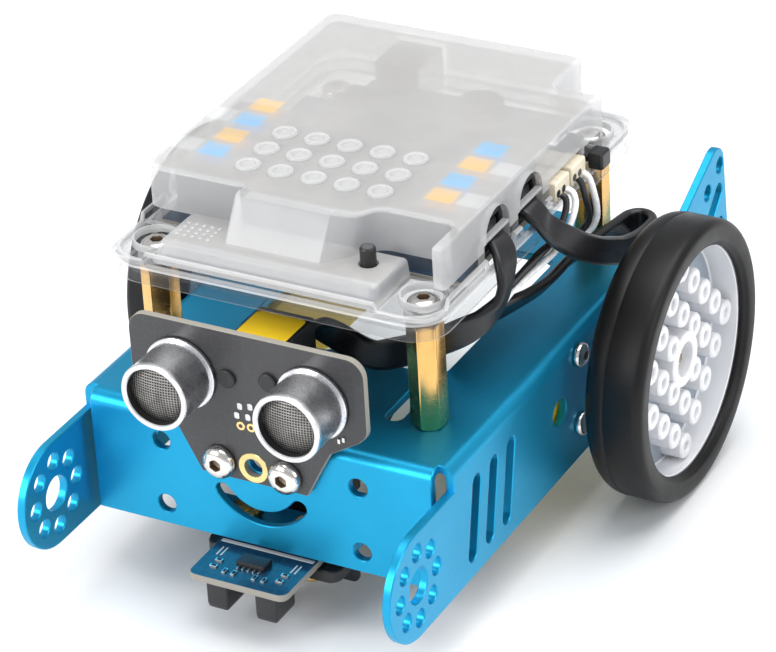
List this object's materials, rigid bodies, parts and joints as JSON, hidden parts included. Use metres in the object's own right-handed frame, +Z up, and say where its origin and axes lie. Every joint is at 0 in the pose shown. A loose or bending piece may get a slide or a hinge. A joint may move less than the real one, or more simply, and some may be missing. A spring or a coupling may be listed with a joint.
{
  "type": "educational coding robot",
  "caption": "Wheeled teaching robot with a folded metal chassis, a clear controller case on brass posts, a distance sensor, a line sensor and a ball caster.",
  "frame": {"origin": "middle of the robot's footprint, on the floor that the tyres and the caster ball stand on", "axes": "+Z up, -Y the direction the robot drives in, where its distance sensor looks, and +X the robot's left side"},
  "size_m": [0.13, 0.1702, 0.0902],
  "materials": {
    "blue_metal": "satin anodised",
    "brass": "machined",
    "steel": "bright",
    "aluminium": "satin",
    "black_plastic": "moulded",
    "yellow_plastic": "moulded",
    "white_plastic": "moulded",
    "cream_plastic": "moulded",
    "frosted_plastic": "frosted translucent",
    "tyre_rubber": "smooth",
    "blue_circuit_board": "solder mask",
    "black_circuit_board": "solder mask",
    "lead_sheath": "soft sheath",
    "white_sheath": "soft sheath"
  },
  "bodies": {
    "robot_frame": {"battery_pack": "black_plastic", "case_cover": "frosted_plastic", "case_screw_front_left": "steel", "case_screw_front_right": "steel", "case_screw_rear_left": "steel", "case_screw_rear_right": "steel", "case_tray": "frosted_plastic", "caster_housing": "black_plastic", "chassis": "blue_metal", "foot_screw_left": "brass", "foot_screw_right": "brass", "gearbox_left": "yellow_plastic", "gearbox_right": "yellow_plastic", "line_eye_left": "black_plastic", "line_eye_right": "black_plastic", "line_jack": "black_plastic", "line_lead": "lead_sheath", "line_plug": "black_plastic", "line_sensor_board": "blue_circuit_board", "main_board": "blue_circuit_board", "motor_bolt_lower_left": "steel", "motor_bolt_lower_right": "steel", "motor_bolt_upper_left": "steel", "motor_bolt_upper_right": "steel", "motor_can_left": "steel", "motor_can_right": "steel", "motor_plug_left": "cream_plastic", "motor_plug_right": "cream_plastic", "motor_wire_left_black": "lead_sheath", "motor_wire_left_white": "white_sheath", "motor_wire_right_black": "lead_sheath", "motor_wire_right_white": "white_sheath", "port_jack_front_left": "black_plastic", "port_jack_front_right": "black_plastic", "port_jack_rear_left": "black_plastic", "port_jack_rear_right": "black_plastic", "port_plug_front": "black_plastic", "port_plug_rear": "black_plastic", "post_front_left": "brass", "post_front_right": "brass", "post_rear_left": "brass", "post_rear_right": "brass", "sensor_board": "black_circuit_board", "sensor_jack": "black_plastic", "sensor_lead": "lead_sheath", "sensor_plug": "black_plastic", "sensor_screw_left": "steel", "sensor_screw_right": "steel", "transducer_left": "aluminium", "transducer_right": "aluminium"},
    "wheel_left": {"wheel_hub_left": "white_plastic", "tyre_left": "tyre_rubber", "output_shaft_left": "white_plastic"},
    "wheel_right": {"wheel_hub_right": "white_plastic", "tyre_right": "tyre_rubber", "output_shaft_right": "white_plastic"},
    "caster_ball": {"caster_ball": "steel"},
    "button": {"button_cap": "black_plastic"},
    "power_switch": {"switch_knob": "black_plastic"}
  },
  "joints": [
    {"name": "wheel_left_spin", "type": "hinge", "parent": "robot_frame", "child": "wheel_left", "pos_m": [0.0575, 0.02415, 0.03225], "axis": [1, 0, 0], "continuous": true},
    {"name": "wheel_right_spin", "type": "hinge", "parent": "robot_frame", "child": "wheel_right", "pos_m": [-0.0575, 0.02415, 0.03225], "axis": [1, 0, 0], "continuous": true},
    {"name": "caster_roll", "type": "hinge", "parent": "robot_frame", "child": "caster_ball", "pos_m": [0, -0.04295, 0.0055], "axis": [1, 0, 0], "continuous": true},
    {"name": "button_press", "type": "slide", "parent": "robot_frame", "child": "button", "axis": [0, 0, -1], "range_m": [0, 0.0006], "stiffness_N_per_m": 300, "springref_m": -0.0005},
    {"name": "power_slide", "type": "slide", "parent": "robot_frame", "child": "power_switch", "axis": [0, 1, 0], "range_m": [0, 0.0032]}
  ]
}
